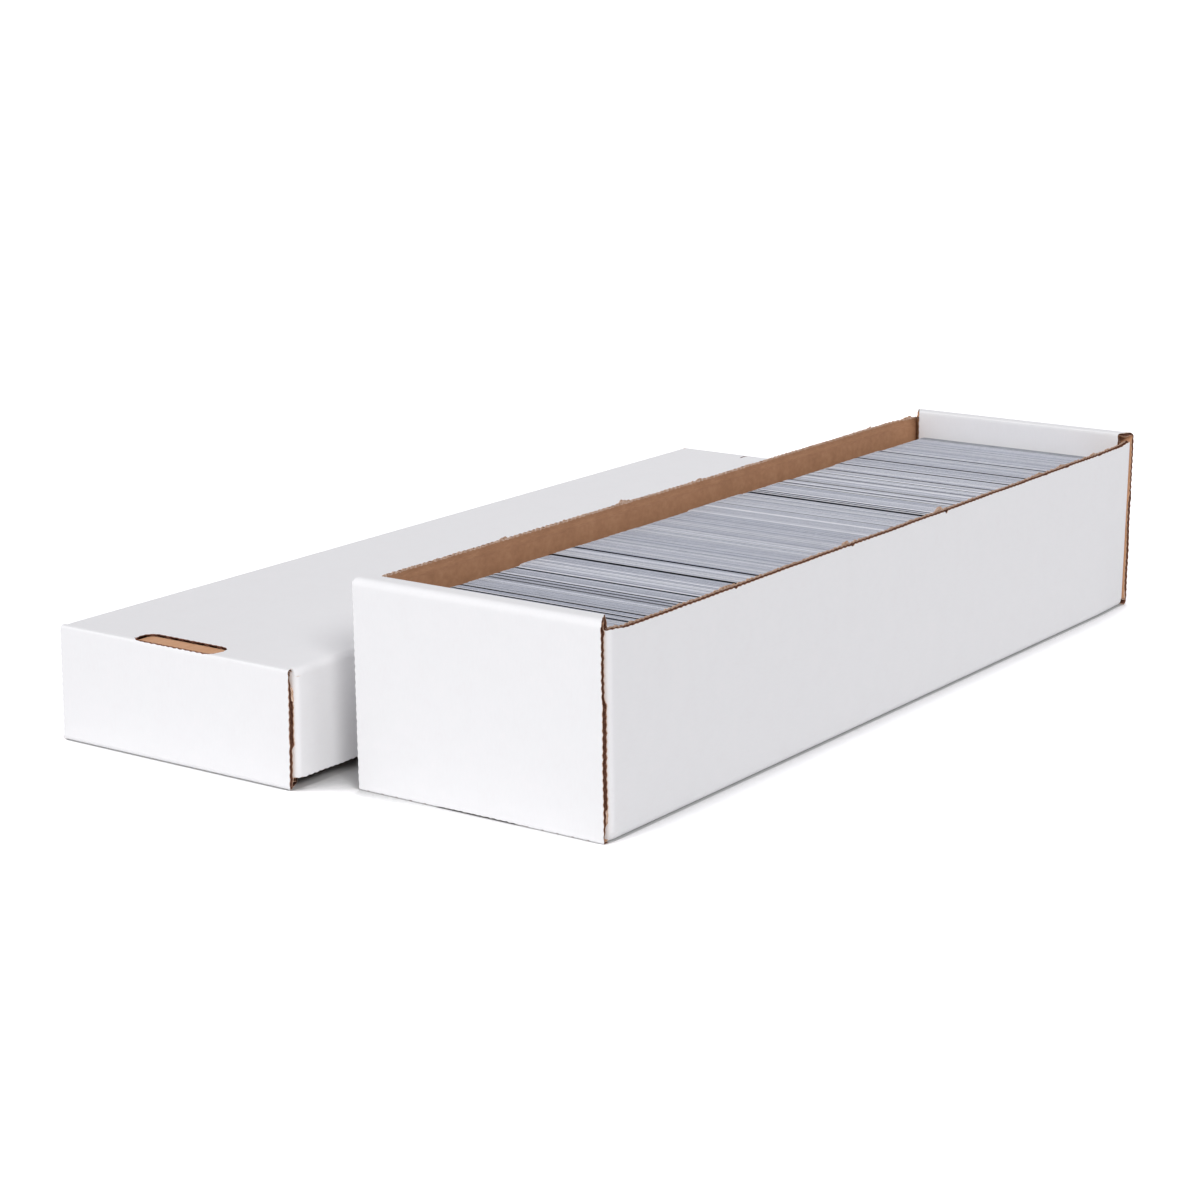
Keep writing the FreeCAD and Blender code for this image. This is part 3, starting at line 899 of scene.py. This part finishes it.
# The last cards of a row are darker: painted shade where the row meets the end panel behind it.
shade_from = add_node(tree, maths, {0: given["Cards"], 1: given["Painted shade cards"]}, "SUBTRACT")
painted_end_shade = add_node(tree, "ShaderNodeMapRange", {0: number, 1: shade_from, 2: given["Cards"], 3: 0.0, 4: -0.25})
tone_of_card = add_node(tree, maths, {0: line_tone, 1: painted_end_shade}, "ADD")
tinted = add_node(tree, stored, {0: cards, "Name": "tint", "Value": tone_of_card}, domain="INSTANCE")
finish_tree(tree, tinted, (card_face, card_edge))

# The share of dark cards in each pack, from the front, partly painted shade for the gaps between cards. The row
# of packs bows a little to the left.
dark_shares = (0.17, 0.12, 0.10, 0.07, 0.05, 0.08, 0.17, 0.10, 0.03, 0.02)
row_bow = 1.5 * MM
for index, dark_share in enumerate(dark_shares, 1):
    pack_low, pack_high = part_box(f"card_pack_{index:02d}")
    bowed = row_bow * math.sin(math.pi * (index - 0.5) / 10)
    cards_mesh = shape_from_nodes(pack_tree, {
        "Cards": 106, "Row length": pack_high.y - pack_low.y, "Card width": pack_high.x - pack_low.x,
        "Card height": pack_high.z - pack_low.z, "Stock": 0.30 * MM, "Corner": 3.0 * MM, "Sideways": 0.25 * MM,
        "Short": 0.003, "Turn": math.radians(0.5), "Lot contrast": 0.6 - 0.03 * index, "Run": 3.3,
        # Only the last pack, against the rear end panel, has its last cards in painted shade.
        "Dark share": dark_share, "Pale share": 1.3 * dark_share, "Painted shade cards": 24.0 if index == 10 else 0.1,
        "Place": ((pack_low.x + pack_high.x) / 2 - bowed, pack_low.y, pack_low.z), "Seed": index})
    pack = in_scene(f"card_pack_{index:02d}_cards", cards_mesh)
    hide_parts(f"card_pack_{index:02d}")
    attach(pack, f"card_pack_{index:02d}_body")


# ----------------------------------------------------------------------
# Floor, light and camera: a white seamless paper sweep under two large softboxes and a pale sky.
# Seen straight on, the paper's colour follows ambient occlusion. Where nothing stands close over it, the paper
# shows as pure white, and so does the sky. Close under and beside the objects it is painted shade.

bpy.context.scene.view_settings.view_transform = "Standard"


def shown_rays(tree):
    """1 for a ray that shows a surface, straight on, mirrored or through glass, and 0 for one that lights."""
    rays = add_node(tree, "ShaderNodeLightPath").outputs
    direct = add_node(tree, maths, {0: rays["Is Camera Ray"], 1: rays["Is Glossy Ray"]}, "ADD")
    return add_node(tree, maths, {
        0: direct, 1: rays["Is Transmission Ray"]}, "ADD", use_clamp=True)


sweep, tree = new_material("white_paper_sweep")
open_air = add_node(tree, "ShaderNodeAmbientOcclusion", {"Distance": 60 * MM}, samples=16)
# Painted shade: the paper's colour drops to half close to the objects and rises past white away from them.
painted_shade_and_bleach = add_node(tree, "ShaderNodeMapRange", {0: open_air.outputs["AO"], 1: 0.43, 2: 0.66, 3: 0.5, 4: 1.75})
whiteness = add_node(tree, "ShaderNodeMix", {
    "Factor": shown_rays(tree), 6: srgb("#EAEAEA"), 7: painted_shade_and_bleach}, data_type="RGBA")
matt = add_node(tree, "ShaderNodeBsdfDiffuse", {0: whiteness.outputs[2]})
add_node(tree, "ShaderNodeOutputMaterial", {0: matt})
floor_mesh = bpy.data.meshes.new("floor")
far, drop = 30.0, 0.1 * MM
floor_mesh.from_pydata(
    [(x, y, -drop) for x, y in ((-far, -far), (far, -far), (far, far), (-far, far))], [], [(0, 1, 2, 3)])
floor_mesh.materials.append(sweep)
floor = in_scene("floor", floor_mesh)

world = bpy.data.worlds.new("studio")
bpy.context.scene.world = world
world.use_nodes = True
tree = world.node_tree
tree.nodes.clear()
shown = shown_rays(tree)
strength = add_node(tree, "ShaderNodeMapRange", {0: shown, 3: 0.30, 4: 1.0})
tinge = add_node(tree, "ShaderNodeMix", {
    "Factor": shown, 6: (0.945, 0.93, 1.0, 1), 7: (1, 1, 1, 1)}, data_type="RGBA")
sky = add_node(tree, "ShaderNodeBackground", {0: tinge.outputs[2], 1: strength})
add_node(tree, "ShaderNodeOutputWorld", {0: sky})


def away(azimuth, elevation):
    """The direction from the object to something at these angles, in radians."""
    return Vector((
        math.sin(azimuth) * math.cos(elevation), -math.cos(azimuth) * math.cos(elevation), math.sin(elevation)))


def softbox(name, azimuth, elevation, width, strength):
    """A distant softbox this wide in degrees, seen from the object, that lights everything evenly."""
    lamp = bpy.data.lights.new(name, "SUN")
    lamp.angle = math.radians(width)
    lamp.energy = strength
    light = in_scene(name, lamp)
    light.location = away(math.radians(azimuth), math.radians(elevation))
    light.rotation_mode = "QUATERNION"
    light.rotation_quaternion = light.location.to_track_quat("Z", "Y")


softbox("right_softbox", 56, 35, 22, 1.36)
softbox("left_softbox", -30, 32, 100, 1.56)

back, roll = away(0.616532, 0.244321), -0.003992
level_right = (-back).cross(Vector((0, 0, 1))).normalized()
level_up = level_right.cross(-back)
right = math.cos(roll) * level_right + math.sin(roll) * level_up
up = math.cos(roll) * level_up - math.sin(roll) * level_right
stand = Vector((0.582689, -0.950563, 0.313327))
camera_data = bpy.data.cameras.new("camera")
camera_data.sensor_width = 36.0
camera_data.lens = 86.16
camera_data.clip_end = 200.0
camera = in_scene("camera", camera_data)
camera.matrix_world = Matrix((*((right[i], up[i], back[i], stand[i]) for i in range(3)), (0, 0, 0, 1)))
bpy.context.scene.camera = camera
